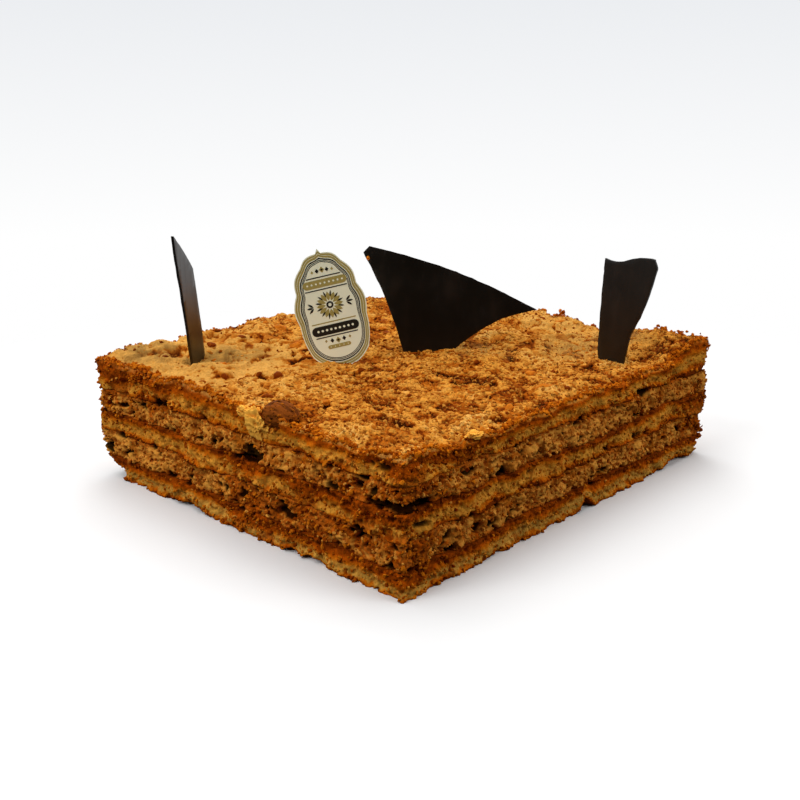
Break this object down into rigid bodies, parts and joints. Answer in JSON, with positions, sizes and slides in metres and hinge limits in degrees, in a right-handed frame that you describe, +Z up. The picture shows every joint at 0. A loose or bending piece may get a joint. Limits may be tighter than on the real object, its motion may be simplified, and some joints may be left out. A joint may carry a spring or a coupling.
{
  "type": "layered almond meringue cake",
  "caption": "Square-cut cake of almond meringue and praline cream layers with a craggy top, upright chocolate shards, a small plaque and a whole almond.",
  "frame": {"origin": "middle of the cake's base, on the surface it stands on", "axes": "+Z up, +X along the longer side, +Y along the shorter side; the corner nearest the camera in the picture is at -X -Y"},
  "size_m": [0.2317, 0.2046, 0.1215],
  "materials": {
    "sponge": "crumbly baked almond meringue with browned crusts",
    "top_crust": "powdery cracked golden crust",
    "cream": "airy praline cream with crumbs in it",
    "chocolate": "dark chocolate with a soft gloss",
    "plaque": "printed card with a satin surface",
    "almond": "wrinkled brown skin"
  },
  "bodies": {
    "root": {"sponge_bottom": "sponge", "cream_lower": "cream", "sponge_middle": "sponge", "cream_upper": "cream", "sponge_top": "top_crust", "shard_left": "chocolate", "shard_centre": "chocolate", "shard_right": "chocolate", "plaque": "plaque", "almond": "almond"}
  },
  "joints": []
}
